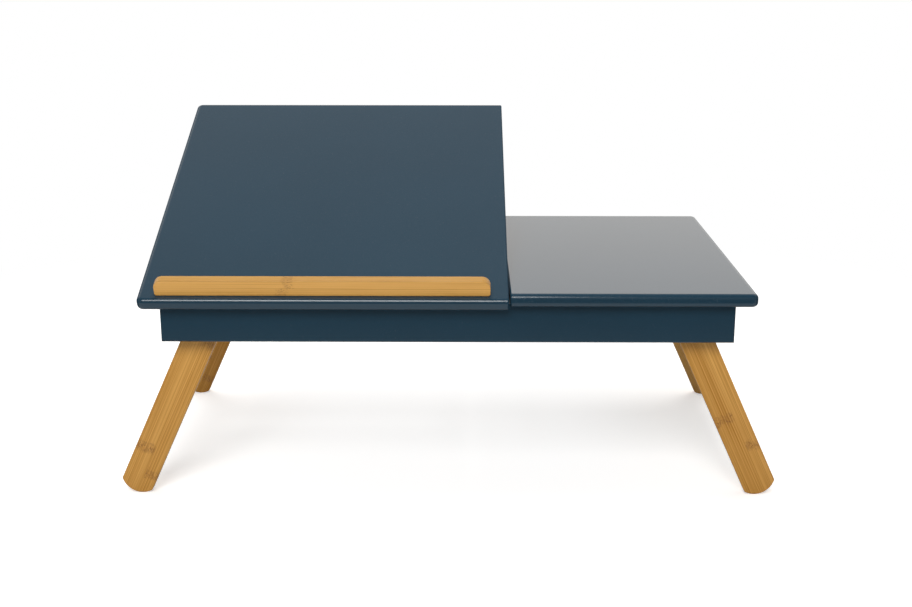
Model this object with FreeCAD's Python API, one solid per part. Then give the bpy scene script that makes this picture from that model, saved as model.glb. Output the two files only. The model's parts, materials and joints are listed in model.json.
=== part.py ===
import FreeCAD, Part
import math
import os
from collections import namedtuple

# A laptop table for use in bed: a fixed side top and a tilting top on a shallow rail frame
# with four folding legs. The tilting top turns on two butt hinges at its front edge, carries
# a ledge that stops a laptop from sliding, and is propped from below by a swinging frame
# whose cross bar steps along two notched rails.
# Millimetres. +X is the user's right, +Y is away from the user, +Z is up, the floor is Z = 0.

Vector = FreeCAD.Vector
ScrewSize = namedtuple("ScrewSize", "shank_radius head_radius head_height length")
ScrewSet = namedtuple("ScrewSet", "places direction size")

# Driving dimensions: the tops
TABLE_WIDTH = 550.0
TABLE_DEPTH = 350.0
TABLE_HEIGHT = 200.0
TOP_THICK = 12.0
TOP_EDGE_ROUND = 4.5
TOP_CORNER_ROUND = 6.0
SEAM_X = 55.25
SEAM_GAP = 1.5
SEAM_EASE = 1.0
TILT_DEG = 22.6

# Driving dimensions: the ledge that stands on the tilting top
LEDGE_LENGTH = 297.0
LEDGE_THICK = 8.0
LEDGE_HEIGHT = 16.2
LEDGE_FROM_FRONT = 7.0
LEDGE_CORNER_ROUND = 8.0
LEDGE_EASE = 0.8

# Driving dimensions: the rail frame and its tenons
RAIL_HEIGHT = 35.5
RAIL_THICK = 15.0
RAIL_FRONT_SETBACK = 11.0
RAIL_SIDE_SETBACK = 18.0
RAIL_EASE = 1.2
CROSS_RAIL_X = 16.0
TENON_THICK = 7.0
TENON_HEIGHT = 22.0
TENON_LENGTH = 8.0

# Driving dimensions: the legs and what they turn on
LEG_SPLAY_DEG = 24.7
LEG_WIDTH = 30.0
LEG_THICK = 12.0
LEG_PIVOT_X = 217.0
LEG_FOOT_ROUND = 19.0
LEG_EASE = 1.2
BOLT_RADIUS = 3.0
BOLT_BITE = 10.0
BOLT_HEAD_RADIUS = 7.0
BOLT_HEAD_HEIGHT = 4.0
BOLT_SOCKET_RADIUS = 2.3
BOLT_SOCKET_DEPTH = 2.0
BOLT_SOCKET_SIDES = 6

# Driving dimensions: the two butt hinges
HINGE_MIDDLES_X = (-215.0, -5.0)
HINGE_LENGTH = 40.0
HINGE_REACH = 12.5
HINGE_KNUCKLES = 3
KNUCKLE_RADIUS = 2.3
KNUCKLE_GAP = 0.3
LEAF_THICK = 1.2
HINGE_PIN_RADIUS = 1.2

# Driving dimensions: the prop and its notched rails
PROP_PIVOT_FROM_HINGE = 138.0
PROP_PIVOT_DROP = 9.0
PROP_LENGTH = 139.8
PROP_FOLD_RATIO = -2.0
ARM_HALF_WIDTH = 7.0
ARM_THICK = 10.0
ARM_FROM_RAIL = 22.3
CROSS_BAR_RADIUS = 4.0
CROSS_BAR_END_GAP = 1.0
BLOCK_THICK = 12.0
BLOCK_LENGTH = 40.0
BLOCK_HEIGHT = 16.0
BLOCK_EASE = 4.0
AXLE_RADIUS = 2.5
NOTCHED_RAIL_THICK = 12.0
NOTCHED_RAIL_FRONT_Y = 40.0
NOTCHED_RAIL_BACK_Y = 128.0
NOTCHED_RAIL_FROM_BELOW = 3.5
NOTCH_DEPTH = 3.0
NOTCH_PITCH = 12.7
NOTCH_NUMBERS = (-2, -1, 0, 1)
NOTCH_RAMP = 8.0

# Driving dimensions: the wood screws, drawn with a few flat sides
SCREW_SIDES = 6
TOP_SCREW = ScrewSize(2.0, 4.0, 2.0, 43.0)
LEDGE_SCREW = ScrewSize(1.7, 3.4, 1.7, 22.0)
FRAME_LEAF_SCREW = ScrewSize(1.3, 2.4, 0.8, 12.0)
PANEL_LEAF_SCREW = ScrewSize(1.3, 2.4, 0.8, 9.0)
BLOCK_SCREW = ScrewSize(1.7, 3.4, 1.7, 24.0)
NOTCH_SCREW = ScrewSize(1.7, 3.4, 1.7, 21.0)
TOP_SCREW_X = (90.0, 190.0)
LEDGE_SCREW_SPACING = 75.0
LEAF_SCREW_SPREAD = 12.0
LEAF_SCREW_FROM_AXIS = 8.0
BLOCK_SCREW_SPREAD = 13.0
NOTCH_SCREW_Y = (52.0, 118.0)
NOTCH_SCREW_RISE = 6.0

# Clearances, and how far a cutter runs past the faces that it goes through
RUN_CLEAR = 0.05
PRESS_CLEAR = 0.02
SLIDE_CLEAR = 0.1
SIDE_CLEAR = 0.3
KNUCKLE_CLEAR = 0.4
BAR_CLEAR = 0.33
HOLE_END_CLEAR = 0.5
CUT_PAST = 1.0
SAME_PLACE = 0.01

# Worked out: levels and the rail frame's faces
TOP_UNDER = TABLE_HEIGHT - TOP_THICK
TOP_FRONT_Y = -TABLE_DEPTH / 2
RAIL_BOTTOM = TOP_UNDER - RAIL_HEIGHT
RAIL_MIDDLE_Z = (TOP_UNDER + RAIL_BOTTOM) / 2
RAIL_OUTER_X = TABLE_WIDTH / 2 - RAIL_SIDE_SETBACK
RAIL_INNER_X = RAIL_OUTER_X - RAIL_THICK
RAIL_OUTER_Y = TABLE_DEPTH / 2 - RAIL_FRONT_SETBACK
RAIL_INNER_Y = RAIL_OUTER_Y - RAIL_THICK
SIDE_RAIL_X = RAIL_OUTER_X - RAIL_THICK / 2
LONG_RAIL_Y = RAIL_OUTER_Y - RAIL_THICK / 2
CROSS_RAIL_LEFT = CROSS_RAIL_X - RAIL_THICK / 2
SHORT_RAILS_X = (-SIDE_RAIL_X, CROSS_RAIL_X, SIDE_RAIL_X)

# Worked out: the two tops meet at the seam, and the ledge is centred on the tilting one
TILT_PANEL_RIGHT = SEAM_X - SEAM_GAP / 2
FIXED_TOP_LEFT = SEAM_X + SEAM_GAP / 2
TILT_PANEL_MIDDLE_X = (TILT_PANEL_RIGHT - TABLE_WIDTH / 2) / 2
LEDGE_LEFT = TILT_PANEL_MIDDLE_X - LEDGE_LENGTH / 2
LEDGE_RIGHT = TILT_PANEL_MIDDLE_X + LEDGE_LENGTH / 2
LEDGE_FRONT = TOP_FRONT_Y + LEDGE_FROM_FRONT
LEDGE_BACK = LEDGE_FRONT + LEDGE_THICK
LEDGE_TOP = TABLE_HEIGHT + LEDGE_HEIGHT

# Worked out: the hinge axis lies on the front rail's upper front corner
HINGE_Y = -RAIL_OUTER_Y
HINGE_Z = TOP_UNDER
HINGE_AXIS = Vector(1, 0, 0)

# Worked out: the prop with the tilting top lying flat
PROP_PIVOT_Y = HINGE_Y + PROP_PIVOT_FROM_HINGE
PROP_PIVOT_Z = HINGE_Z - PROP_PIVOT_DROP
CROSS_BAR_FLAT_Y = PROP_PIVOT_Y + PROP_LENGTH
PROP_MIDDLE_X = (CROSS_RAIL_LEFT - RAIL_INNER_X) / 2
ARM_OUTER_FROM_MIDDLE = (CROSS_RAIL_LEFT + RAIL_INNER_X) / 2 - ARM_FROM_RAIL
BLOCK_BOTTOM = HINGE_Z - BLOCK_HEIGHT

# Worked out: where the cross bar stands at rest, and the notched rails under it
TILT = math.radians(TILT_DEG)
BAR_REACH = PROP_PIVOT_FROM_HINGE + PROP_LENGTH
BAR_REST_Y = HINGE_Y + BAR_REACH * math.cos(TILT) + PROP_PIVOT_DROP * math.sin(TILT)
NOTCHED_RAIL_TOP = PROP_PIVOT_Z - CROSS_BAR_RADIUS - BAR_CLEAR
NOTCHED_RAIL_BOTTOM = RAIL_BOTTOM + NOTCHED_RAIL_FROM_BELOW
NOTCH_FLOOR = NOTCHED_RAIL_TOP - NOTCH_DEPTH
NOTCH_RADIUS = CROSS_BAR_RADIUS + SIDE_CLEAR

# Worked out: the legs turn on bolts, just clear of the front and back rails
LEG_SPLAY = math.radians(LEG_SPLAY_DEG)
LEG_PIVOT_Z = RAIL_MIDDLE_Z
LEG_FOOT_CENTRE = (LEG_PIVOT_Z - LEG_FOOT_ROUND) / math.cos(LEG_SPLAY)
LEG_OUTER_Y = RAIL_INNER_Y - SIDE_CLEAR
LEG_INNER_Y = LEG_OUTER_Y - LEG_THICK
BOLT_HEAD_FACE_Y = LEG_INNER_Y - SLIDE_CLEAR
BOLT_FREE_LENGTH = RAIL_INNER_Y - BOLT_HEAD_FACE_Y
LEG_CORNERS = {
    "front_left": (-1, -1),
    "front_right": (1, -1),
    "back_left": (-1, 1),
    "back_right": (1, 1),
}


# Shapes used throughout

def box(x_low, x_high, y_low, y_high, z_low, z_high):
    corner = Vector(x_low, y_low, z_low)
    return Part.makeBox(x_high - x_low, y_high - y_low, z_high - z_low, corner)


def rod_along_x(x_low, x_high, y, z, radius):
    return Part.makeCylinder(radius, x_high - x_low, Vector(x_low, y, z), Vector(1, 0, 0))


def turned(profile):
    """A solid turned about the Z axis from a half section, given as radius and height pairs."""
    points = [Vector(radius, 0, height) for radius, height in profile]
    half_section = Part.Face(Part.makePolygon(points + points[:1]))
    return half_section.revolve(Vector(0, 0, 0), Vector(0, 0, 1), 360)


def prism(radius, sides, z_low, z_high):
    """A regular prism about the Z axis; the radius is that of its corners."""
    turns = [2 * math.pi * n / sides for n in range(sides)]
    points = [Vector(radius * math.cos(turn), radius * math.sin(turn), z_low) for turn in turns]
    return Part.Face(Part.makePolygon(points + points[:1])).extrude(Vector(0, 0, z_high - z_low))


def moved(shape, place):
    copy = shape.copy()
    copy.Placement = place.multiply(copy.Placement)
    return copy


def tilted(shape):
    """Turn a piece of the tilting top from lying flat to its rest tilt."""
    copy = shape.copy()
    copy.rotate(Vector(0, HINGE_Y, HINGE_Z), HINGE_AXIS, TILT_DEG)
    return copy


def propped(shape):
    """Swing a piece of the prop out from under the flat top, then tilt it with the top."""
    copy = shape.copy()
    copy.rotate(Vector(0, PROP_PIVOT_Y, PROP_PIVOT_Z), HINGE_AXIS, PROP_FOLD_RATIO * TILT_DEG)
    return tilted(copy)


# Picking edges

def is_level(edge):
    return edge.BoundBox.ZLength < SAME_PLACE


def at_x(edge, x):
    return max(abs(edge.BoundBox.XMin - x), abs(edge.BoundBox.XMax - x)) < SAME_PLACE


def at_y(edge, y):
    return max(abs(edge.BoundBox.YMin - y), abs(edge.BoundBox.YMax - y)) < SAME_PLACE


def at_z(edge, z):
    return max(abs(edge.BoundBox.ZMin - z), abs(edge.BoundBox.ZMax - z)) < SAME_PLACE


# Wood screws

def screw(face, direction, size, clear=0.0):
    """A flat-headed screw with its head flush in a face or, with clearance, its hole."""
    head = prism(size.head_radius + clear, SCREW_SIDES, 0, size.head_height + clear)
    shank = prism(size.shank_radius + clear, SCREW_SIDES, 0, size.length + clear)
    solid = head.fuse(shank).removeSplitter()
    return moved(solid, FreeCAD.Placement(face, FreeCAD.Rotation(Vector(0, 0, 1), direction)))


def screw_group(*screw_sets):
    return Part.Compound([screw(place, s.direction, s.size) for s in screw_sets for place in s.places])


def screw_holes(*screw_sets):
    return [screw(place, s.direction, s.size, RUN_CLEAR) for s in screw_sets for place in s.places]


def arm_outer_x(side):
    """X of the outer face of the left (-1) or right (1) prop arm."""
    return PROP_MIDDLE_X + side * ARM_OUTER_FROM_MIDDLE


def notched_rail_wall_x(side):
    """X of the face that the left (-1) or right (1) notched rail is screwed to."""
    return -RAIL_INNER_X if side < 0 else CROSS_RAIL_LEFT


def notched_rail_free_x(side):
    return notched_rail_wall_x(side) - side * NOTCHED_RAIL_THICK


UP = Vector(0, 0, 1)
DOWN = Vector(0, 0, -1)
TOP_SCREWS = ScrewSet(
    [Vector(x, side * LONG_RAIL_Y, RAIL_BOTTOM) for x in TOP_SCREW_X for side in (-1, 1)],
    UP, TOP_SCREW)
LEDGE_SCREWS = ScrewSet(
    [Vector(TILT_PANEL_MIDDLE_X + n * LEDGE_SCREW_SPACING, LEDGE_FRONT + LEDGE_THICK / 2, TOP_UNDER)
     for n in (-1, 0, 1)],
    UP, LEDGE_SCREW)
LEAF_SCREW_PLACES = [
    Vector(middle + side * LEAF_SCREW_SPREAD, HINGE_Y + LEAF_SCREW_FROM_AXIS, HINGE_Z)
    for middle in HINGE_MIDDLES_X for side in (-1, 1)
]
FRAME_LEAF_SCREWS = ScrewSet(LEAF_SCREW_PLACES, DOWN, FRAME_LEAF_SCREW)
PANEL_LEAF_SCREWS = ScrewSet(LEAF_SCREW_PLACES, UP, PANEL_LEAF_SCREW)
BLOCK_SCREWS = ScrewSet(
    [Vector(arm_outer_x(side) + side * (SIDE_CLEAR + BLOCK_THICK / 2), PROP_PIVOT_Y + spread, BLOCK_BOTTOM)
     for side in (-1, 1) for spread in (-BLOCK_SCREW_SPREAD, BLOCK_SCREW_SPREAD)],
    UP, BLOCK_SCREW)
NOTCH_SCREW_Z = NOTCHED_RAIL_BOTTOM + NOTCH_SCREW_RISE
NOTCH_SCREWS = [
    ScrewSet([Vector(notched_rail_free_x(side), y, NOTCH_SCREW_Z) for y in NOTCH_SCREW_Y],
             Vector(side, 0, 0), NOTCH_SCREW)
    for side in (-1, 1)
]


# The two tops

def tabletop(x_low, x_high, seam_x):
    """A painted board with soft outer edges and a nearly square edge at the seam."""
    board = box(x_low, x_high, TOP_FRONT_Y, -TOP_FRONT_Y, TOP_UNDER, TABLE_HEIGHT)
    outer_x = x_low if seam_x == x_high else x_high
    corners = [e for e in board.Edges if not is_level(e) and at_x(e, outer_x)]
    board = board.makeFillet(TOP_CORNER_ROUND, corners)
    rims = [e for e in board.Edges if is_level(e) and not at_x(e, seam_x)]
    board = board.makeFillet(TOP_EDGE_ROUND, rims)
    seam_rim = [e for e in board.Edges if at_x(e, seam_x)]
    return board.makeChamfer(SEAM_EASE, seam_rim)


def fixed_top():
    board = tabletop(FIXED_TOP_LEFT, TABLE_WIDTH / 2, FIXED_TOP_LEFT)
    return board.cut(screw_holes(TOP_SCREWS))


def tilt_panel():
    board = tabletop(-TABLE_WIDTH / 2, TILT_PANEL_RIGHT, TILT_PANEL_RIGHT)
    recesses = [hinge_recess(x, 1) for x in HINGE_MIDDLES_X]
    return board.cut(recesses + screw_holes(PANEL_LEAF_SCREWS, LEDGE_SCREWS, BLOCK_SCREWS))


# The ledge

def ledge():
    """A strip with its two upper corners cut round and its front outline eased."""
    strip = box(LEDGE_LEFT, LEDGE_RIGHT, LEDGE_FRONT, LEDGE_BACK, TABLE_HEIGHT, LEDGE_TOP)
    upper = [e for e in strip.Edges if at_z(e, LEDGE_TOP)]
    ends = [e for e in upper if at_x(e, LEDGE_LEFT) or at_x(e, LEDGE_RIGHT)]
    cut_round = strip.makeFillet(LEDGE_CORNER_ROUND, ends)
    outline = [e for e in cut_round.Edges if at_y(e, LEDGE_FRONT) and not at_z(e, TABLE_HEIGHT)]
    return cut_round.makeChamfer(LEDGE_EASE, outline).cut(screw_holes(LEDGE_SCREWS))


# The rail frame: the short rails' tenons sit in mortises in the front and back rails

def tenon(x, side, clear=0.0):
    """The tenon at the front (-1) or back (1) end of a short rail or, with clearance, its mortise."""
    half_thick = TENON_THICK / 2 + clear
    z_low = RAIL_MIDDLE_Z - TENON_HEIGHT / 2 - clear
    z_high = RAIL_MIDDLE_Z + TENON_HEIGHT / 2 + clear
    root = side * RAIL_INNER_Y
    y_low, y_high = sorted((root, root + side * (TENON_LENGTH + clear)))
    return box(x - half_thick, x + half_thick, y_low, y_high, z_low, z_high)


def long_rail(side):
    """The front (-1) or back (1) rail, as long as the frame, with its outer face's rim eased."""
    y_low, y_high = sorted((side * RAIL_OUTER_Y, side * RAIL_INNER_Y))
    rail = box(-RAIL_OUTER_X, RAIL_OUTER_X, y_low, y_high, RAIL_BOTTOM, TOP_UNDER)
    rail = rail.makeChamfer(RAIL_EASE, [e for e in rail.Edges if at_y(e, side * RAIL_OUTER_Y)])
    mortises = [tenon(x, side, RUN_CLEAR) for x in SHORT_RAILS_X]
    bolt_holes = [moved(leg_bolt_hole(), leg_bolt_place(side_x, side)) for side_x in (-1, 1)]
    rail = rail.cut(mortises + bolt_holes + screw_holes(TOP_SCREWS))
    if side < 0:
        recesses = [hinge_recess(x, -1) for x in HINGE_MIDDLES_X]
        rail = rail.cut(recesses + screw_holes(FRAME_LEAF_SCREWS))
    return rail


def short_rail(x):
    """A rail between the front and back rails, with a tenon at each end and eased lower edges."""
    x_low = x - RAIL_THICK / 2
    x_high = x + RAIL_THICK / 2
    rail = box(x_low, x_high, -RAIL_INNER_Y, RAIL_INNER_Y, RAIL_BOTTOM, TOP_UNDER)
    lower = [e for e in rail.Edges if at_z(e, RAIL_BOTTOM)]
    rail = rail.makeChamfer(RAIL_EASE, [e for e in lower if at_x(e, x_low) or at_x(e, x_high)])
    rail = rail.fuse([tenon(x, -1), tenon(x, 1)])
    return rail.cut(screw_holes(*NOTCH_SCREWS))


# The butt hinges

def knuckle_spans(middle_x, first):
    """Start and end along X of every second knuckle, counted from this one."""
    step = HINGE_LENGTH / HINGE_KNUCKLES
    left = middle_x - HINGE_LENGTH / 2
    trim = KNUCKLE_GAP / 2
    return [(left + n * step + trim, left + (n + 1) * step - trim) for n in range(first, HINGE_KNUCKLES, 2)]


def hinge_leaf(middle_x, first, up, bore, holes):
    """A plate beside the axis, above (1) or below (-1) it, with its own knuckles and screw holes."""
    left = middle_x - HINGE_LENGTH / 2
    right = middle_x + HINGE_LENGTH / 2
    plate_front = HINGE_Y + KNUCKLE_RADIUS + KNUCKLE_CLEAR
    z_low, z_high = sorted((HINGE_Z, HINGE_Z + up * LEAF_THICK))
    leaf = box(left, right, plate_front, HINGE_Y + HINGE_REACH, z_low, z_high)
    for start, end in knuckle_spans(middle_x, first):
        barrel = rod_along_x(start, end, HINGE_Y, HINGE_Z, KNUCKLE_RADIUS)
        web = box(start, end, HINGE_Y, plate_front, z_low, z_high)
        leaf = leaf.fuse([barrel, web])
    return leaf.cut([rod_along_x(left, right, HINGE_Y, HINGE_Z, bore)] + holes).removeSplitter()


def hinge_recess(middle_x, up):
    """The mortise for one leaf with the round groove that clears all the knuckles."""
    left = middle_x - HINGE_LENGTH / 2 - SIDE_CLEAR
    right = middle_x + HINGE_LENGTH / 2 + SIDE_CLEAR
    z_low, z_high = sorted((HINGE_Z, HINGE_Z + up * LEAF_THICK))
    mortise = box(left, right, HINGE_Y, HINGE_Y + HINGE_REACH + SIDE_CLEAR, z_low, z_high)
    return mortise.fuse(rod_along_x(left, right, HINGE_Y, HINGE_Z, KNUCKLE_RADIUS + KNUCKLE_CLEAR))


def hinge_pin(middle_x):
    half = HINGE_LENGTH / 2
    return rod_along_x(middle_x - half, middle_x + half, HINGE_Y, HINGE_Z, HINGE_PIN_RADIUS)


# The legs

def leg_blank():
    """A leg pointing straight down from its pivot at the origin, its outer face at Y = 0."""
    half = LEG_WIDTH / 2
    tip = LEG_FOOT_CENTRE + LEG_FOOT_ROUND
    foot_side = LEG_FOOT_CENTRE + math.sqrt(LEG_FOOT_ROUND ** 2 - half ** 2)
    crown = Part.Arc(Vector(-half, 0, 0), Vector(0, 0, half), Vector(half, 0, 0))
    right = Part.LineSegment(Vector(half, 0, 0), Vector(half, 0, -foot_side))
    foot = Part.Arc(Vector(half, 0, -foot_side), Vector(0, 0, -tip), Vector(-half, 0, -foot_side))
    left = Part.LineSegment(Vector(-half, 0, -foot_side), Vector(-half, 0, 0))
    outline = Part.Wire([piece.toShape() for piece in (crown, right, foot, left)])
    blank = Part.Face(outline).extrude(Vector(0, LEG_THICK, 0))
    rims = [e for e in blank.Edges if at_y(e, 0) or at_y(e, LEG_THICK)]
    blank = blank.makeChamfer(LEG_EASE, rims)
    bore_start = Vector(0, -CUT_PAST, 0)
    bore_length = LEG_THICK + 2 * CUT_PAST
    bore = Part.makeCylinder(BOLT_RADIUS + RUN_CLEAR, bore_length, bore_start, Vector(0, 1, 0))
    return blank.cut(bore)


def leg(side_x, side_y):
    """A leg splayed outwards from its pivot, beside the front or the back rail."""
    splay = FreeCAD.Rotation(Vector(0, 1, 0), -side_x * LEG_SPLAY_DEG)
    y_low = LEG_INNER_Y if side_y > 0 else -LEG_OUTER_Y
    return moved(leg_blank(), FreeCAD.Placement(Vector(side_x * LEG_PIVOT_X, y_low, LEG_PIVOT_Z), splay))


# The leg bolts, drawn along Z from the underside of the head

def leg_bolt():
    """A round-headed bolt with a hexagonal socket."""
    bolt_end = BOLT_FREE_LENGTH + BOLT_BITE
    bolt = turned([
        (0, -BOLT_HEAD_HEIGHT),
        (BOLT_HEAD_RADIUS, -BOLT_HEAD_HEIGHT),
        (BOLT_HEAD_RADIUS, 0),
        (BOLT_RADIUS, 0),
        (BOLT_RADIUS, bolt_end),
        (0, bolt_end),
    ])
    socket_end = BOLT_SOCKET_DEPTH - BOLT_HEAD_HEIGHT
    return bolt.cut(prism(BOLT_SOCKET_RADIUS, BOLT_SOCKET_SIDES, -BOLT_HEAD_HEIGHT, socket_end))


def leg_bolt_hole():
    length = BOLT_BITE + HOLE_END_CLEAR
    return Part.makeCylinder(BOLT_RADIUS + PRESS_CLEAR, length, Vector(0, 0, BOLT_FREE_LENGTH))


def leg_bolt_place(side_x, side_y):
    middle = Vector(side_x * LEG_PIVOT_X, side_y * BOLT_HEAD_FACE_Y, LEG_PIVOT_Z)
    return FreeCAD.Placement(middle, FreeCAD.Rotation(Vector(0, 0, 1), Vector(0, side_y, 0)))


# The prop: two arms on an axle under the tilting top, and a cross bar through their feet

def prop_arm(side):
    """A flat bar with round ends, bored for the axle that it turns on and for the cross bar."""
    outer = arm_outer_x(side)
    pivot = Vector(outer, PROP_PIVOT_Y, PROP_PIVOT_Z)
    foot = pivot + Vector(0, PROP_LENGTH, 0)
    rise = Vector(0, 0, ARM_HALF_WIDTH)
    end_round = Vector(0, ARM_HALF_WIDTH, 0)
    outline = Part.Wire([
        Part.Arc(pivot - rise, pivot - end_round, pivot + rise).toShape(),
        Part.LineSegment(pivot + rise, foot + rise).toShape(),
        Part.Arc(foot + rise, foot + end_round, foot - rise).toShape(),
        Part.LineSegment(foot - rise, pivot - rise).toShape(),
    ])
    arm = Part.Face(outline).extrude(Vector(-side * ARM_THICK, 0, 0))
    x_low = arm.BoundBox.XMin - CUT_PAST
    x_high = arm.BoundBox.XMax + CUT_PAST
    axle_bore = rod_along_x(x_low, x_high, PROP_PIVOT_Y, PROP_PIVOT_Z, AXLE_RADIUS + RUN_CLEAR)
    bar_bore = rod_along_x(x_low, x_high, CROSS_BAR_FLAT_Y, PROP_PIVOT_Z, CROSS_BAR_RADIUS + PRESS_CLEAR)
    return arm.cut([axle_bore, bar_bore])


def prop_block(side):
    """The block outside an arm that holds the axle's end, screwed up into the tilting top."""
    inner = arm_outer_x(side) + side * SIDE_CLEAR
    x_low, x_high = sorted((inner, inner + side * BLOCK_THICK))
    half = BLOCK_LENGTH / 2
    block = box(x_low, x_high, PROP_PIVOT_Y - half, PROP_PIVOT_Y + half, BLOCK_BOTTOM, HINGE_Z)
    lower = [e for e in block.Edges if at_z(e, BLOCK_BOTTOM)]
    block = block.makeChamfer(BLOCK_EASE, [e for e in lower if e.BoundBox.YLength < SAME_PLACE])
    axle_hole = rod_along_x(x_low, x_high, PROP_PIVOT_Y, PROP_PIVOT_Z, AXLE_RADIUS + PRESS_CLEAR)
    return block.cut([axle_hole] + screw_holes(BLOCK_SCREWS))


def prop_axle():
    half = ARM_OUTER_FROM_MIDDLE + SIDE_CLEAR + BLOCK_THICK
    return rod_along_x(PROP_MIDDLE_X - half, PROP_MIDDLE_X + half, PROP_PIVOT_Y, PROP_PIVOT_Z, AXLE_RADIUS)


def cross_bar():
    low = CROSS_BAR_END_GAP - RAIL_INNER_X
    high = CROSS_RAIL_LEFT - CROSS_BAR_END_GAP
    return rod_along_x(low, high, CROSS_BAR_FLAT_Y, PROP_PIVOT_Z, CROSS_BAR_RADIUS)


# The notched rails that the cross bar steps along

def notched_rail(side):
    """A strip with round notches, each with a ramp that the rising cross bar slides up."""
    x_low, x_high = sorted((notched_rail_wall_x(side), notched_rail_free_x(side)))
    length = NOTCHED_RAIL_BACK_Y - NOTCHED_RAIL_FRONT_Y
    height = NOTCHED_RAIL_TOP - NOTCHED_RAIL_BOTTOM
    corner = Vector(x_low, NOTCHED_RAIL_FRONT_Y, NOTCHED_RAIL_BOTTOM)
    strip = Part.makeBox(NOTCHED_RAIL_THICK, length, height, corner)
    above = NOTCHED_RAIL_TOP + CUT_PAST
    for number in NOTCH_NUMBERS:
        y = BAR_REST_Y + number * NOTCH_PITCH
        seat = rod_along_x(x_low, x_high, y, NOTCH_FLOOR + NOTCH_RADIUS, NOTCH_RADIUS)
        ramp_outline = [
            Vector(x_low, y, NOTCH_FLOOR),
            Vector(x_low, y, above),
            Vector(x_low, y - NOTCH_RAMP, above),
            Vector(x_low, y - NOTCH_RAMP, NOTCHED_RAIL_TOP),
            Vector(x_low, y, NOTCH_FLOOR),
        ]
        ramp = Part.Face(Part.makePolygon(ramp_outline)).extrude(Vector(NOTCHED_RAIL_THICK, 0, 0))
        strip = strip.cut([seat, ramp])
    return strip.cut(screw_holes(*NOTCH_SCREWS)).removeSplitter()


# Every piece, in the place where it stands at rest

nodes = {
    "front_rail": long_rail(-1),
    "back_rail": long_rail(1),
    "left_rail": short_rail(-SIDE_RAIL_X),
    "right_rail": short_rail(SIDE_RAIL_X),
    "cross_rail": short_rail(CROSS_RAIL_X),
    "fixed_top": fixed_top(),
    "fixed_top_screws": screw_group(TOP_SCREWS),
    "notched_rail_screws": screw_group(*NOTCH_SCREWS),
    "hinge_pins": Part.Compound([hinge_pin(x) for x in HINGE_MIDDLES_X]),
    "frame_leaf_screws": screw_group(FRAME_LEAF_SCREWS),
    "leg_bolts": Part.Compound([moved(leg_bolt(), leg_bolt_place(*sides)) for sides in LEG_CORNERS.values()]),
    "tilt_panel": tilted(tilt_panel()),
    "ledge": tilted(ledge()),
    "ledge_screws": tilted(screw_group(LEDGE_SCREWS)),
    "panel_leaf_screws": tilted(screw_group(PANEL_LEAF_SCREWS)),
    "prop_block_screws": tilted(screw_group(BLOCK_SCREWS)),
    "prop_axle": tilted(prop_axle()),
    "prop_cross_bar": propped(cross_bar()),
}
for hinge_name, hinge_x in zip(("left", "right"), HINGE_MIDDLES_X):
    frame_leaf_bore = HINGE_PIN_RADIUS + PRESS_CLEAR
    panel_leaf_bore = HINGE_PIN_RADIUS + RUN_CLEAR
    frame_leaf = hinge_leaf(hinge_x, 0, -1, frame_leaf_bore, screw_holes(FRAME_LEAF_SCREWS))
    panel_leaf = hinge_leaf(hinge_x, 1, 1, panel_leaf_bore, screw_holes(PANEL_LEAF_SCREWS))
    nodes["frame_leaf_" + hinge_name] = frame_leaf
    nodes["panel_leaf_" + hinge_name] = tilted(panel_leaf)
for side_name, side_sign in (("left", -1), ("right", 1)):
    nodes["notched_rail_" + side_name] = notched_rail(side_sign)
    nodes["prop_block_" + side_name] = tilted(prop_block(side_sign))
    nodes["prop_arm_" + side_name] = propped(prop_arm(side_sign))
for corner_name, corner_sides in LEG_CORNERS.items():
    nodes["leg_" + corner_name] = leg(*corner_sides)

os.makedirs("parts", exist_ok=True)
for name, shape in nodes.items():
    shape.exportStep(os.path.join("parts", name + ".step"))
    state = "valid" if shape.isValid() else "not valid"
    print(name, len(shape.Solids), "solids", round(shape.Volume, 1), "cubic mm", state)
prop_pivot = tilted(Part.Vertex(0, PROP_PIVOT_Y, PROP_PIVOT_Z)).Point
print("hinge axis at Y", HINGE_Y, "Z", HINGE_Z)
print("prop pivot at rest at Y", round(prop_pivot.y, 3), "Z", round(prop_pivot.z, 3))
print("leg pivots at X", LEG_PIVOT_X, "Z", LEG_PIVOT_Z, "leg outer face at Y", LEG_OUTER_Y)
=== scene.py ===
"""Finishes, small hardware and a studio stage for a folding laptop table with a tilting top."""

import json
import math

import bpy
import numpy as np
from bpy.props import FloatProperty, FloatVectorProperty, PointerProperty
from bpy.types import Operator, Panel, PropertyGroup
from mathutils import Matrix, Vector


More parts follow.
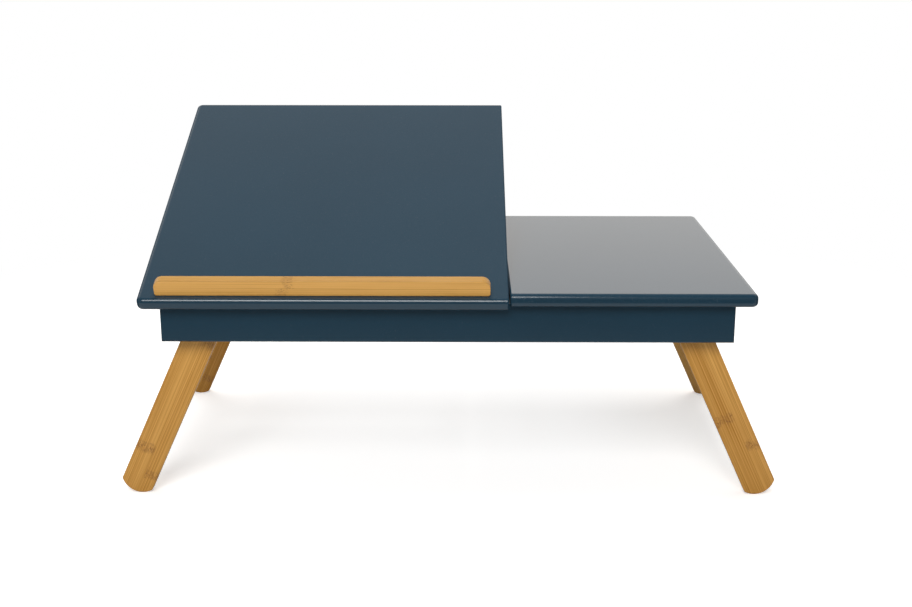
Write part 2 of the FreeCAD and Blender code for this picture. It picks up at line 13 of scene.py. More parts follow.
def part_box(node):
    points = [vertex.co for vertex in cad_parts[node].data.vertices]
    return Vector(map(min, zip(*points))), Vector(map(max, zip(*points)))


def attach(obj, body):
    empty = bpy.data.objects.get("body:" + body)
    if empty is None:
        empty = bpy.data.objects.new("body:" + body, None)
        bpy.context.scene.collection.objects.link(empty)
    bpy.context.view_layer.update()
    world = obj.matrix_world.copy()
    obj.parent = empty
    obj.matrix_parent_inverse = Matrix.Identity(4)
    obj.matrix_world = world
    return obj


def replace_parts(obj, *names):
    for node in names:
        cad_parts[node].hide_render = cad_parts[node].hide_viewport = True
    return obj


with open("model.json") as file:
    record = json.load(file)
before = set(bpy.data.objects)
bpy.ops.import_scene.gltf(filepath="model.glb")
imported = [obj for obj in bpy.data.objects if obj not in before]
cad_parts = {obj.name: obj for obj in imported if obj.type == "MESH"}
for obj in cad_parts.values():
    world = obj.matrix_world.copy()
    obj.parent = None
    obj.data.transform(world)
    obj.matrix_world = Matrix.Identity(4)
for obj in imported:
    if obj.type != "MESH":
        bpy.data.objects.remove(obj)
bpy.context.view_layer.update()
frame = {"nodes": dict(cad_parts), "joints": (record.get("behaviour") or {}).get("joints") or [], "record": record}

bl_info = {
    "name": "Laptop Table",
    "version": (1, 0, 0),
    "blender": (4, 5, 0),
    "location": "View3D > Sidebar > Laptop Table",
    "description": "Painted boards, bamboo, hardware and a white studio for a folding laptop table",
    "category": "Object",
}

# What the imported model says

NODES = frame["nodes"]
SLOT_OF = {part["node"]: part["material_slot"] for part in frame["record"]["subparts"]}
BODY_OF = {name: body for body, names in frame["record"]["behaviour"]["bodies"].items() for name in names}
PIVOT_OF = {joint["child"]: Vector(joint["pos_m"]) for joint in frame["joints"]}


def nodes_in_slot(slot):
    """Names of the nodes that the record gives this material slot."""
    return [name for name, named_slot in SLOT_OF.items() if named_slot == slot]


# Units, directions and plain colours

MM = 0.001
ORIGIN = (0.0, 0.0, 0.0)
RIGHT = Vector((1.0, 0.0, 0.0))
BACK = Vector((0.0, 1.0, 0.0))
UP = Vector((0.0, 0.0, 1.0))
BLACK = (0.0, 0.0, 0.0, 1.0)
WHITE = (1.0, 1.0, 1.0, 1.0)


# How each bamboo piece was cut, with painted light and shade on some pieces; a higher tone is darker

def bamboo_pattern(strip_width, knot_start, knot_step, knot_gap, **more):
    """Values for the bamboo group, from four lengths in millimetres and any others as they are."""
    return {"strip_width": strip_width * MM, "knot_start": knot_start * MM,
            "knot_step": knot_step * MM, "knot_gap": knot_gap * MM, **more}


LEFT_LEG_PATTERN = bamboo_pattern(strip_width=18.0, knot_start=164.0, knot_step=24.0, knot_gap=142.0)
RIGHT_LEG_PATTERN = bamboo_pattern(strip_width=18.0, knot_start=137.0, knot_step=33.0, knot_gap=142.0)
# Back legs' tones include painted light and shade: back left darkened as painted shade under the table, back right
# lightened as painted light against it
LEG_TONES_AND_PAINTED_LIGHT = {"leg_front_left": 0.17, "leg_front_right": 0.22, "leg_back_left": 0.3, "leg_back_right": -0.3}
LEG_GLUE_LINE = 3.0 * MM  # from the leg's middle line
LEDGE_PATTERN = bamboo_pattern(
    strip_width=9.0, knot_start=-140.0, knot_step=6.0, knot_gap=268.0, knot_depth=0.55, tone=-0.25, seed=11.0)
LEDGE_GLUE_LINE = 8.0 * MM  # from the ledge's lower edge
# Painted shade: how far the ledge's upper face is darkened, since it takes more light than its front
LEDGE_PAINTED_TOP_SHADE = 0.36
CROSS_BAR_PATTERN = bamboo_pattern(
    strip_width=9.0, knot_start=-90.0, knot_step=11.0, knot_gap=130.0, tone=0.1, seed=21.0)
RAIL_PATTERN = bamboo_pattern(
    strip_width=9.0, knot_start=70.0, knot_step=17.0, knot_gap=150.0, tone=0.1, seed=31.0)
ARM_PATTERN = bamboo_pattern(
    strip_width=9.0, knot_start=60.0, knot_step=14.0, knot_gap=150.0, tone=0.1, seed=40.0)


# Settings that a user would change

class ShapeSettings(PropertyGroup):
    """Sizes of the pieces that are drawn here in finer form."""

    tilt: FloatProperty(
        name="Tilt", description="How far the tilting top is raised", subtype="ANGLE",
        default=math.radians(22.6))
    splay: FloatProperty(
        name="Splay", description="How far each leg leans out", subtype="ANGLE", default=math.radians(24.7))
    foot_round: FloatProperty(
        name="Foot round", description="Radius under a foot", unit="LENGTH", default=19.0 * MM)
    foot_corner: FloatProperty(
        name="Foot corner", description="Radius at a foot's two corners", unit="LENGTH", default=1.6 * MM)
    edge_round: FloatProperty(
        name="Edge round", description="Radius along the edges of legs and prop arms", unit="LENGTH",
        default=1.2 * MM)
    ledge_thick: FloatProperty(
        name="Ledge thickness", description="Front to back", unit="LENGTH", default=8.0 * MM)
    ledge_height: FloatProperty(
        name="Ledge height", description="Square to the tilting top", unit="LENGTH", default=16.2 * MM)
    ledge_corner: FloatProperty(
        name="Ledge corner", description="Radius of its two upper corners", unit="LENGTH", default=8.0 * MM)
    ledge_foot: FloatProperty(
        name="Ledge foot", description="Radius of its two lower corners", unit="LENGTH", default=2.2 * MM)
    ledge_ease: FloatProperty(
        name="Ledge ease", description="Radius along its front and back outlines", unit="LENGTH",
        default=0.6 * MM)
    screw_rise: FloatProperty(
        name="Screw rise", description="Height of a screw head's dome", unit="LENGTH", default=0.5 * MM)
    bolt_rise: FloatProperty(
        name="Bolt rise", description="Height of a bolt head's dome", unit="LENGTH", default=3.2 * MM)
    socket_corner: FloatProperty(
        name="Socket", description="Corner radius of a bolt's hexagon socket", unit="LENGTH",
        default=2.3 * MM)
    seam_width: FloatProperty(
        name="Seam strip width", description="Side to side, under both tops", unit="LENGTH",
        default=12.0 * MM)
    seam_thick: FloatProperty(
        name="Seam strip thickness", description="Top to bottom", unit="LENGTH", default=1.5 * MM)
    seam_drop: FloatProperty(
        name="Seam strip drop", description="Room between the strip and the fixed top", unit="LENGTH",
        default=0.3 * MM)


class FinishSettings(PropertyGroup):
    """Colours and gloss of the paint, bamboo and metal."""

    paint_colour: FloatVectorProperty(
        name="Paint", description="Petrol blue of the boards", subtype="COLOR",
        default=(0.0085, 0.036, 0.062))
    paint_roughness: FloatProperty(
        name="Paint roughness", description="Gloss of the satin lacquer", subtype="FACTOR", default=0.16)
    bamboo_light: FloatVectorProperty(
        name="Bamboo, light", description="Pale fibres", subtype="COLOR", default=(0.74, 0.4, 0.096))
    bamboo_dark: FloatVectorProperty(
        name="Bamboo, dark", description="Dark fibres", subtype="COLOR", default=(0.38, 0.155, 0.004))
    bamboo_knot: FloatVectorProperty(
        name="Bamboo, knots", description="Flecks where a cane had a joint", subtype="COLOR",
        default=(0.2, 0.07, 0.012))
    steel_colour: FloatVectorProperty(
        name="Zinc", description="Zinc plated steel", subtype="COLOR", default=(0.62, 0.62, 0.6))
    brass_colour: FloatVectorProperty(
        name="Brass", description="Brass of the hinge leaves", subtype="COLOR", default=(0.72, 0.5, 0.2))


class StageSettings(PropertyGroup):
    """Camera, floor and lamps."""

    lens: FloatProperty(
        name="Lens", description="Focal length in millimetres", default=52.86)
    sensor: FloatProperty(
        name="Sensor", description="Width of the sensor in millimetres", default=36.0)
    camera_place: FloatVectorProperty(
        name="Camera", description="Where the camera stands", subtype="TRANSLATION", unit="LENGTH",
        default=(0.01723, -1.31367, 0.50279))
    camera_pitch: FloatProperty(
        name="Pitch", description="How far the camera looks down", subtype="ANGLE", default=0.26657)
    camera_yaw: FloatProperty(
        name="Yaw", description="How far the camera looks to the right", subtype="ANGLE", default=-0.00821)
    floor_size: FloatProperty(
        name="Floor", description="Width of the square floor", unit="LENGTH", default=12.0)
    shadow_depth: FloatProperty(
        name="Shadow", description="Share of the floor's shade that shows under the table", subtype="FACTOR",
        default=0.27)
    front_light: FloatProperty(
        name="Front lamp", description="Softbox above the camera", unit="POWER", default=24.0)
    front_size: FloatVectorProperty(
        name="Front lamp size", description="Its two sides", unit="LENGTH", size=2, default=(0.95, 0.85))
    front_place: FloatVectorProperty(
        name="Front lamp place", description="Where it hangs", subtype="TRANSLATION", unit="LENGTH",
        default=(-0.28, -1.6, 1.46))
    overhead_light: FloatProperty(
        name="Overhead lamp", description="Long softbox above the table", unit="POWER", default=21.5)
    overhead_size: FloatVectorProperty(
        name="Overhead lamp size", description="Its two sides", unit="LENGTH", size=2, default=(0.6, 1.6))
    overhead_place: FloatVectorProperty(
        name="Overhead lamp place", description="Where it hangs", subtype="TRANSLATION", unit="LENGTH",
        default=(0.0, 0.3, 1.9))
    lamp_target: FloatVectorProperty(
        name="Lamp target", description="The point both lamps face", subtype="TRANSLATION", unit="LENGTH",
        default=(0.0, 0.0, 0.15))


# Shader building blocks

SOCKET_KINDS = {3: "NodeSocketVector", 4: "NodeSocketColor"}
NUMBER_KIND = "NodeSocketFloat"
GROUP_OUTPUTS = {"colour": SOCKET_KINDS[4], "roughness": NUMBER_KIND, "height": NUMBER_KIND}


def put(tree, socket, value):
    """Feeds a socket from another socket, or sets it to a plain value."""
    if isinstance(value, bpy.types.NodeSocket):
        tree.links.new(value, socket)
    else:
        socket.default_value = value


def math_node(tree, operation, *values):
    """One Math node on sockets or numbers."""
    node = tree.nodes.new("ShaderNodeMath")
    node.operation = operation
    for socket, value in zip(node.inputs, values):
        put(tree, socket, value)
    return node.outputs["Value"]


def total(tree, first, *others):
    """The sum of sockets or numbers."""
    for other in others:
        first = math_node(tree, "ADD", first, other)
    return first


def product(tree, first, *others):
    """The product of sockets or numbers."""
    for other in others:
        first = math_node(tree, "MULTIPLY", first, other)
    return first


def about_zero(tree, value, spread):
    """Moves a value of 0 to 1 to lie evenly about zero, and scales it to a spread."""
    return product(tree, math_node(tree, "SUBTRACT", value, 0.5), spread)


def from_line(tree, place, gap):
    """Distance to the nearest of a row of lines, from a place that is counted in gaps."""
    return product(tree, math_node(tree, "PINGPONG", place, 0.5), gap)


def vector_node(tree, operation, *values, scale=None):
    """One Vector Math node on sockets or vectors, with a scale where the operation has one."""
    node = tree.nodes.new("ShaderNodeVectorMath")
    node.operation = operation
    for socket, value in zip(node.inputs, values):
        put(tree, socket, value)
    if scale is not None:
        put(tree, node.inputs["Scale"], scale)
    return node.outputs["Value" if operation in {"DOT_PRODUCT", "LENGTH"} else "Vector"]


def axes_of(tree, vector):
    """The X, Y and Z of a vector."""
    node = tree.nodes.new("ShaderNodeSeparateXYZ")
    put(tree, node.inputs["Vector"], vector)
    return node.outputs["X"], node.outputs["Y"], node.outputs["Z"]


def noise(tree, place, scale=1.0, detail=2.0):
    """Fractal noise from 0 to 1, with a scale in waves per metre."""
    node = tree.nodes.new("ShaderNodeTexNoise")
    put(tree, node.inputs["Vector"], place)
    node.inputs["Scale"].default_value = scale
    node.inputs["Detail"].default_value = detail
    return node.outputs["Fac"]


def drawn_noise(tree, place, scales, shift=ORIGIN, detail=2.0):
    """Noise that is drawn out: it has a scale along each axis, and a shift."""
    return noise(tree, vector_node(tree, "MULTIPLY_ADD", place, scales, shift), detail=detail)


def ramp(tree, value, start=0.0, end=1.0, low=0.0, high=1.0):
    """Smooth step of a value from low at start to high at end."""
    node = tree.nodes.new("ShaderNodeMapRange")
    node.interpolation_type = "SMOOTHSTEP"
    settings = {"Value": value, "From Min": start, "From Max": end, "To Min": low, "To Max": high}
    for name, setting in settings.items():
        put(tree, node.inputs[name], setting)
    return node.outputs["Result"]


def mix_colour(tree, factor, first, second, mode="MIX"):
    """Blends two colours."""
    node = tree.nodes.new("ShaderNodeMix")
    node.data_type = "RGBA"
    node.blend_type = mode
    sockets = {socket.identifier: socket for socket in (*node.inputs, *node.outputs)}
    put(tree, sockets["Factor_Float"], factor)
    put(tree, sockets["A_Color"], first)
    put(tree, sockets["B_Color"], second)
    return sockets["Result_Color"]


def mix_shader(tree, factor, first, second):
    """Blends two shaders."""
    node = tree.nodes.new("ShaderNodeMixShader")
    for socket, value in zip(node.inputs, (factor, first, second)):
        put(tree, socket, value)
    return node.outputs["Shader"]


def socket_name(name):
    """A socket's name from a plain one with _ for spaces."""
    return name.replace("_", " ").capitalize()


def new_group(name, **defaults):
    """A shader node group with inputs by name and default; returns its tree and its input sockets.

    A default of one number makes a number, of three a vector and of four a colour.
    """
    tree = bpy.data.node_groups.new(name, "ShaderNodeTree")
    for input_name, default in defaults.items():
        kind = NUMBER_KIND if isinstance(default, float) else SOCKET_KINDS[len(default)]
        socket = tree.interface.new_socket(socket_name(input_name), in_out="INPUT", socket_type=kind)
        socket.default_value = default
    return tree, tree.nodes.new("NodeGroupInput").outputs


def close_group(tree, **results):
    """Gives a group its outputs and feeds them."""
    for name, kind in GROUP_OUTPUTS.items():
        tree.interface.new_socket(socket_name(name), in_out="OUTPUT", socket_type=kind)
    node = tree.nodes.new("NodeGroupOutput")
    for name, value in results.items():
        put(tree, node.inputs[socket_name(name)], value)
    return tree


def use_group(tree, name, maker, **values):
    """Places a group in a material, building it on its first use, and feeds its inputs."""
    node = tree.nodes.new("ShaderNodeGroup")
    node.node_tree = bpy.data.node_groups.get(name) or maker(name)
    for input_name, value in values.items():
        put(tree, node.inputs[socket_name(input_name)], value)
    return node.outputs


def new_material(name):
    """A material with only a Principled shader; returns the material, its tree and the shader."""
    material = bpy.data.materials.new(name)
    material.use_nodes = True
    tree = material.node_tree
    return material, tree, tree.nodes["Principled BSDF"]


def feed_shader(tree, shader, look, bump_strength, bump_depth):
    """Feeds a group's colour, roughness and height into a shader."""
    put(tree, shader.inputs["Base Color"], look["Colour"])
    put(tree, shader.inputs["Roughness"], look["Roughness"])
    bump = tree.nodes.new("ShaderNodeBump")
    put(tree, bump.inputs["Height"], look["Height"])
    bump.inputs["Strength"].default_value = bump_strength
    bump.inputs["Distance"].default_value = bump_depth
    put(tree, shader.inputs["Normal"], bump.outputs["Normal"])


def coordinates(tree):
    """The outputs of a Texture Coordinate node."""
    return tree.nodes.new("ShaderNodeTexCoord").outputs


def rgba(colour):
    """A colour with full alpha."""
    return (*colour, 1.0)


# Sprayed lacquer

GRIT_COLOUR = (0.5, 0.55, 0.6, 1.0)
NIB_COLOUR = (0.6, 0.6, 0.6, 1.0)
NIB_SHARE = 0.02
NIB_HEIGHT = 0.6
SAWN_ROUGHNESS = 0.6


def lacquer_group(name):
    """Sprayed satin lacquer: slow tone drift, fine orange peel, grit and a few dust nibs.

    It dries dull on a sawn edge.
    """
    tree, pins = new_group(name, place=ORIGIN, base=WHITE, gloss_roughness=0.2, sawn_edge=0.0)
    place = pins["Place"]
    drift = noise(tree, place, scale=9.0, detail=3.0)
    peel = noise(tree, place, scale=420.0)
    grit = noise(tree, place, scale=1500.0, detail=1.0)
    nibs = ramp(tree, noise(tree, place, scale=700.0, detail=0.0), start=0.76, end=0.82)

    kept = ramp(tree, drift, start=0.3, end=0.7, low=0.95)
    toned = mix_colour(tree, kept, BLACK, pins["Base"])
    gritty = mix_colour(tree, ramp(tree, grit, start=0.3, end=0.75, high=0.012), toned, GRIT_COLOUR)
    unevenness = ramp(tree, peel, start=0.3, end=0.7, low=-0.015, high=0.03)
    sprayed = total(tree, pins["Gloss roughness"], unevenness)
    return close_group(
        tree,
        colour=mix_colour(tree, product(tree, nibs, NIB_SHARE), gritty, NIB_COLOUR),
        roughness=ramp(tree, pins["Sawn edge"], low=sprayed, high=SAWN_ROUGHNESS),
        height=total(tree, peel, product(tree, nibs, NIB_HEIGHT)))


# Pressed bamboo: waves of each pattern per metre, along the fibres and in both directions across them

STREAK_SCALES = (5.0, 1000.0, 1000.0)
HAIR_SCALES = (7.0, 1800.0, 1800.0)
CLOUD_SCALES = (14.0, 60.0, 60.0)
PATCH_SCALES = (170.0, 330.0, 330.0)
DOT_SCALES = (620.0, 900.0, 900.0)
PORE_SCALES = (200.0, 900.0, 900.0)
STRIP_SHIFT = (3.1, 7.7, 1.9)  # in waves, from each strip to the next

# Pressed bamboo: how far each pattern goes from the light colour to the dark one, or to that of the knots

STREAK_SHARE = 0.35
HAIR_SHARE = 0.35
STRIP_SHARE = 0.25
CLOUD_SHARE = 0.35
GLUE_SHARE = 0.25
DOT_SHARE = 0.9
END_SHARE = 0.6

# Pressed bamboo: lengths, and heights as shares of the bump

KNOT_WANDER = 12.0 * MM
KNOT_CORE = 1.5 * MM
KNOT_REACH = 7.0 * MM
GLUE_REACH = 0.35 * MM
HAIR_HEIGHT = 0.5
DENT_HEIGHT = -0.7


def bamboo_group(name):
    """Pressed bamboo strips: fibres along X, strips side by side along Y, and a knot line on each strip.

    A knot line lies at knot start on strip 0, one knot step further on each next strip,
    and repeats every knot gap. End grain shows where the surface faces along the fibres.
    """
    tree, pins = new_group(
        name, grain=ORIGIN, facing=0.0, light=WHITE, dark=BLACK, knot=BLACK, strip_width=18.0 * MM,
        knot_start=0.0, knot_step=20.0 * MM, knot_gap=150.0 * MM, knot_depth=0.8, tone=0.0, seed=0.0)
    grain = pins["Grain"]
    along, across, _ = axes_of(tree, grain)
    lane = math_node(tree, "DIVIDE", across, pins["Strip width"])
    strip = math_node(tree, "FLOOR", lane)
    strip_seed = total(tree, strip, pins["Seed"])
    strip_tone = tree.nodes.new("ShaderNodeTexWhiteNoise")
    strip_tone.noise_dimensions = "1D"
    put(tree, strip_tone.inputs["W"], strip_seed)

    shift = vector_node(tree, "SCALE", STRIP_SHIFT, scale=strip_seed)
    streak = ramp(tree, drawn_noise(tree, grain, STREAK_SCALES, shift), start=0.35, end=0.65)
    hair = ramp(tree, drawn_noise(tree, grain, HAIR_SCALES, shift), start=0.36, end=0.64)
    cloud = drawn_noise(tree, grain, CLOUD_SCALES)

    wander = about_zero(tree, noise(tree, grain, scale=180.0), KNOT_WANDER)
    first_knot = total(tree, pins["Knot start"], product(tree, strip, pins["Knot step"]))
    past_first = math_node(tree, "SUBTRACT", total(tree, along, wander), first_knot)
    gaps_past = math_node(tree, "DIVIDE", past_first, pins["Knot gap"])
    off_knot = from_line(tree, gaps_past, pins["Knot gap"])
    band = ramp(tree, off_knot, start=KNOT_CORE, end=KNOT_REACH, low=1.0, high=0.0)
    patches = ramp(tree, drawn_noise(tree, grain, PATCH_SCALES), start=0.35, end=0.65)
    smudge = product(tree, band, ramp(tree, patches, low=0.12, high=0.5))
    dots = ramp(tree, drawn_noise(tree, grain, DOT_SCALES, detail=0.0), start=0.56, end=0.68)
    knot = math_node(tree, "MAXIMUM", smudge, product(tree, dots, band, DOT_SHARE))

    off_edge = from_line(tree, lane, pins["Strip width"])
    glue = ramp(tree, off_edge, end=GLUE_REACH, low=1.0, high=0.0)
    end_grain = ramp(tree, math_node(tree, "ABSOLUTE", pins["Facing"]), start=0.55, end=0.95)
    pores = drawn_noise(tree, grain, PORE_SCALES, detail=1.0)
    end_dots = product(tree, end_grain, ramp(tree, pores, start=0.5, end=0.62, low=0.25, high=0.8))

    darkness = total(
        tree,
        product(tree, streak, STREAK_SHARE),
        product(tree, hair, HAIR_SHARE),
        about_zero(tree, strip_tone.outputs["Value"], STRIP_SHARE),
        about_zero(tree, cloud, CLOUD_SHARE),
        pins["Tone"])
    clamp = tree.nodes.new("ShaderNodeClamp")
    put(tree, clamp.inputs["Value"], darkness)
    wood = mix_colour(tree, clamp.outputs["Result"], pins["Light"], pins["Dark"])
    glued = mix_colour(tree, product(tree, glue, GLUE_SHARE), wood, pins["Dark"])
    knotted = mix_colour(tree, product(tree, knot, pins["Knot depth"]), glued, pins["Knot"])
    dents = product(tree, math_node(tree, "MAXIMUM", knot, glue), DENT_HEIGHT)
    return close_group(
        tree,
        colour=mix_colour(tree, product(tree, end_dots, END_SHARE), knotted, pins["Knot"]),
        roughness=ramp(tree, streak, low=0.36, high=0.5),
        height=total(tree, product(tree, hair, HAIR_HEIGHT), dents))


# Plated metal

DRAWN_SCALES = (200.0, 4000.0, 4000.0)
TARNISH_COLOUR = (0.2, 0.19, 0.17, 1.0)


def plating_group(name):
    """Plated or rolled metal: fine drawn lines along X and slow blotches."""
    tree, pins = new_group(name, place=ORIGIN, base=WHITE)
    blotch = noise(tree, pins["Place"], scale=160.0, detail=3.0)
    tarnish = ramp(tree, blotch, start=0.3, end=0.75, high=0.35)
    lines = drawn_noise(tree, pins["Place"], DRAWN_SCALES)
    return close_group(
        tree,
        colour=mix_colour(tree, tarnish, pins["Base"], TARNISH_COLOUR),
        roughness=ramp(tree, lines, start=0.25, end=0.75, low=0.26, high=0.44),
        height=lines)


# Materials

def painted_finish(name, settings):
    """Petrol blue satin paint, dull on the boards' sawn ends, which face left and right."""
    material, tree, shader = new_material(name)
    spots = coordinates(tree)
    sideways, _, _ = axes_of(tree, spots["Normal"])
    sawn = ramp(tree, math_node(tree, "ABSOLUTE", sideways), start=0.25, end=0.7)
    look = use_group(tree, "SprayedLacquer", lacquer_group, place=spots["Object"], sawn_edge=sawn,
                     base=rgba(settings.paint_colour), gloss_roughness=settings.paint_roughness)
    feed_shader(tree, shader, look, bump_strength=0.05, bump_depth=0.4 * MM)
    put(tree, shader.inputs["Specular IOR Level"], ramp(tree, sawn, low=0.5, high=0.05))
    return material


def bamboo_finish(name, settings, origin, along, across, painted_top_shade=0.0, **pattern):
    """Bamboo whose fibres run along one direction from an origin, with strips stacked across it.

    The painted top shade darkens the surface where it faces across: painted shade for the extra light that an
    upper face takes.
    """
    material, tree, shader = new_material(name)
    spots = coordinates(tree)
    turn = Matrix((along, across, along.cross(across)))
    mapping = tree.nodes.new("ShaderNodeMapping")
    mapping.inputs["Rotation"].default_value = turn.to_euler("XYZ")
    mapping.inputs["Location"].default_value = -(turn @ origin)
    put(tree, mapping.inputs["Vector"], spots["Object"])
    facing = vector_node(tree, "DOT_PRODUCT", spots["Normal"], along)
    look = use_group(tree, "PressedBamboo", bamboo_group, grain=mapping.outputs["Vector"], facing=facing,
                     light=rgba(settings.bamboo_light), dark=rgba(settings.bamboo_dark),
                     knot=rgba(settings.bamboo_knot), **pattern)
    feed_shader(tree, shader, look, bump_strength=0.25, bump_depth=0.2 * MM)
    if painted_top_shade:
        # Painted shade on the faces that look up across the ledge, which take more light than its front
        upward = vector_node(tree, "DOT_PRODUCT", spots["Normal"], across)
        painted_shade = ramp(tree, upward, start=0.2, end=0.7, high=painted_top_shade)
        put(tree, shader.inputs["Base Color"], mix_colour(tree, painted_shade, look["Colour"], BLACK))
    return material


def metal_finish(name, colour):
    """Plated steel or rolled brass."""
    material, tree, shader = new_material(name)
    look = use_group(tree, "PlatedMetal", plating_group, place=coordinates(tree)["Object"], base=rgba(colour))
    shader.inputs["Metallic"].default_value = 1.0
    feed_shader(tree, shader, look, bump_strength=0.1, bump_depth=0.1 * MM)
    return material


def petrol_paint(settings):
    """The boards' paint, built on its first use."""
    name = "petrol_paint"
    return bpy.data.materials.get(name) or painted_finish(name, settings)


def zinc_plate(settings):
    """The fasteners' zinc, built on its first use."""
    name = "zinc_plate"
    return bpy.data.materials.get(name) or metal_finish(name, settings.steel_colour)


def dress(name, material):
    """Gives a node's object one material."""
    mesh = NODES[name].data
    mesh.materials.clear()
    mesh.materials.append(material)


# Surfaces worked out as stacked rings

SHARP_ANGLE = math.radians(40.0)
ARC_STEP = 6.0  # degrees
FEWEST_ARC_POINTS = 3
RIM_RINGS = 5
FACE_RING_INSET = 1.25  # of the rim's radius
SEAM_EASE = 0.25  # of the seam strip's thickness


def ring_piece(name, rings, material, node):
    """A closed piece through rings: an array of rings, points and coordinates, or of copies of these.

    The points of a ring run anticlockwise about the way the rings are stacked. Neighbouring rings are joined
    by four-sided faces, and one flat face closes each end. The piece rides and is finished as a node is.
    """
    rows, points, axes = rings.shape[-3:]
    index = np.arange(rings.size // axes).reshape(-1, rows, points)
    below, above = index[:, :-1], index[:, 1:]
    sides = np.stack((below, np.roll(below, -1, axis=2), np.roll(above, -1, axis=2), above), axis=-1)
    ends = np.concatenate((index[:, 0, ::-1], index[:, -1]))
    mesh = bpy.data.meshes.new(name)
    mesh.from_pydata(rings.reshape(-1, axes).tolist(), [], sides.reshape(-1, 4).tolist() + ends.tolist())
    mesh.shade_smooth()
    mesh.set_sharp_from_angle(angle=SHARP_ANGLE)
    mesh.materials.append(material)
    piece = bpy.data.objects.new(name, mesh)
    bpy.context.collection.objects.link(piece)
    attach(piece, BODY_OF[node])
    return piece


def stand_in(name, rings, material, node):
    """A closed piece through rings that takes a node's place."""
    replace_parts(ring_piece(name, rings, material, node), node)


def chained_arcs(*arcs):
    """An outline of arcs joined by straight lines; returns its points and its outward normals.

    Each arc is its centre, its radius, and its first and last angle in degrees, anticlockwise.
    """
    points, normals = [], []
    for centre, radius, first, last in arcs:
        count = max(FEWEST_ARC_POINTS, round(abs(last - first) / ARC_STEP) + 1)
        turn = np.radians(np.linspace(first, last, count))
        outward = np.stack((np.cos(turn), np.sin(turn)), axis=-1)
        points.append(np.asarray(centre) + radius * outward)
        normals.append(outward)
    return np.concatenate(points), np.concatenate(normals)


def round_cornered(width, height, lower, upper):
    """Outline of a rectangle that starts at the origin, with a radius for its lower and its upper corners."""
    return chained_arcs(
        ((width - lower, lower), lower, -90.0, 0.0),
        ((width - upper, height - upper), upper, 0.0, 90.0),
        ((upper, height - upper), upper, 90.0, 180.0),
        ((lower, lower), lower, 180.0, 270.0))


def round_edged_slab(outline, thickness, edge):
    """Rings of a flat piece with rounded rims, from its lower to its upper face.

    At a rim angle a the outline is drawn in by edge times (1 - cos a), at a height of half the thickness
    less edge times (1 - sin a), and mirrored for the lower face. One more ring lies inside each flat face.
    """
    points, normals = outline
    turn = np.radians(np.linspace(0.0, 90.0, RIM_RINGS))
    inset = np.append(edge * (1.0 - np.cos(turn)), FACE_RING_INSET * edge)
    height = np.append(thickness / 2.0 - edge * (1.0 - np.sin(turn)), thickness / 2.0)
    inset = np.concatenate((inset[::-1], inset))
    height = np.concatenate((-height[::-1], height))
    flat = points - normals * inset[:, None, None]
    return np.concatenate((flat, np.broadcast_to(height[:, None, None], flat.shape[:2] + (1,))), axis=-1)


def laid(rings, origin, *axes):
    """Moves rings from their own three axes into the frame."""
    return rings @ np.array(axes) + np.array(origin)


def full_turn(count):
    """Evenly spaced angles round a circle."""
    return np.linspace(0.0, 2.0 * math.pi, count, endpoint=False)


def rings_about_axis(radii, heights):
    """Rings about the third axis, with a radius and a height for every ring and angle."""
    turn = full_turn(radii.shape[1])
    return np.stack((radii * np.cos(turn), radii * np.sin(turn), heights), axis=-1)


# Fastener heads

SCREW_POINTS = 64
SCREW_DOME_RINGS = 6
SCREW_UNDER_WIDTH = 0.9  # these five as shares of the head's radius
SCREW_UNDER_DEPTH = 0.15
RECESS_REACH = 0.62
RECESS_HALF_WIDTH = 0.14
RECESS_DEPTHS = (0.2, 0.45)
RECESS_WIDTHS = (0.85, 0.4)  # of the recess's own outline at those depths
SCREW_RIM_HEIGHT = 0.3  # of the dome's rise
BOLT_POINTS = 72
BOLT_DOME_RINGS = 7
BOLT_LAND = 0.5  # of the head's radius
BOLT_EDGE = 0.25  # of the dome's rise
SOCKET_DEPTHS = (0.0, 0.08, 0.9, 0.95)  # of the hexagon's corner radius
SOCKET_WIDTHS = (1.08, 1.0, 1.0, 0.4)  # of the hexagon's outline at those depths
SMALLEST_COSINE = 1e-6
FASTENER_GAP = 10.0 * MM
FACE_TOLERANCE = 0.02 * MM
HEAD_SHARE = 0.9  # of the largest radius; a narrower group is the far end of a shank
STEEP = 0.9  # a direction that rises by more than this is taken as upright


def cross_outline(turn, reach, half_width):
    """Radius of a cross: the longer of the two ways out along a pair of crossing bars."""
    level = np.maximum(np.abs(np.cos(turn)), SMALLEST_COSINE)
    upright = np.maximum(np.abs(np.sin(turn)), SMALLEST_COSINE)
    level_bar = np.minimum(reach / level, half_width / upright)
    upright_bar = np.minimum(reach / upright, half_width / level)
    return np.maximum(level_bar, upright_bar)


def hexagon_outline(turn, corner):
    """Radius of a hexagon: the distance to a side over the cosine of the angle from that side's middle."""
    sector = math.pi / 3.0
    from_middle = (turn + sector / 2.0) % sector - sector / 2.0
    return corner * math.cos(sector / 2.0) / np.cos(from_middle)


def screw_head(radius, rise):
    """Rings of a raised screw head with a cross recess.

    The dome is rise times (1 - (r / radius) squared) above a thin rim, and its rings pass from the round rim
    to the recess by mixing both radii. The recess narrows to a small floor.
    """
    turn = full_turn(SCREW_POINTS)
    flat = np.ones_like(turn)
    recess = cross_outline(turn, RECESS_REACH * radius, RECESS_HALF_WIDTH * radius)
    dome = recess + (radius - recess) * np.linspace(1.0, 0.0, SCREW_DOME_RINGS)[:, None]
    dome_height = SCREW_RIM_HEIGHT * rise + rise * (1.0 - (dome / radius) ** 2)
    under_widths = radius * np.array((SCREW_UNDER_WIDTH, 1.0))
    under_heights = radius * np.array((-SCREW_UNDER_DEPTH, 0.0))
    recess_heights = -radius * np.array(RECESS_DEPTHS)
    radii = np.vstack((np.outer(under_widths, flat), dome, np.outer(RECESS_WIDTHS, recess)))
    heights = np.vstack((np.outer(under_heights, flat), dome_height, np.outer(recess_heights, flat)))
    return rings_about_axis(radii, heights)


